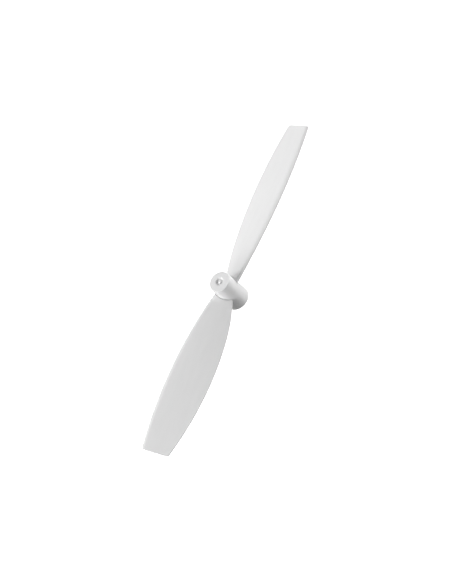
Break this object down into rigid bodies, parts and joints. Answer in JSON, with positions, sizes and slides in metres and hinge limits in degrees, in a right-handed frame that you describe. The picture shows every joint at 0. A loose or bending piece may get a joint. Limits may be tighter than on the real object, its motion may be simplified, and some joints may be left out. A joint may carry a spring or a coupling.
{
  "type": "two-blade propeller",
  "caption": "Model propeller with two square-tipped blades keyed into a long drafted hub barrel, spinning on a short headed shaft.",
  "frame": {"origin": "centre of the shaft's shoulder, which the hub's rear end runs against, on the spin axis", "axes": "+Z along the spin axis towards the front end of the hub, the way the thrust pulls; +X along blade_1 from the axis to its tip"},
  "size_m": [0.127, 0.016, 0.0168],
  "materials": {
    "hub_plastic": "white moulded nylon, satin",
    "blade_plastic": "white moulded nylon, satin",
    "sleeve_metal": "turned",
    "shaft_steel": "ground"
  },
  "bodies": {
    "shaft": {"drive_shaft": "shaft_steel"},
    "propeller": {"hub_barrel": "hub_plastic", "blade_1": "blade_plastic", "blade_2": "blade_plastic", "shaft_sleeve": "sleeve_metal"}
  },
  "joints": [
    {"name": "prop_spin", "type": "hinge", "parent": "shaft", "child": "propeller", "pos_m": [0, 0, 0], "axis": [0, 0, 1], "continuous": true}
  ]
}
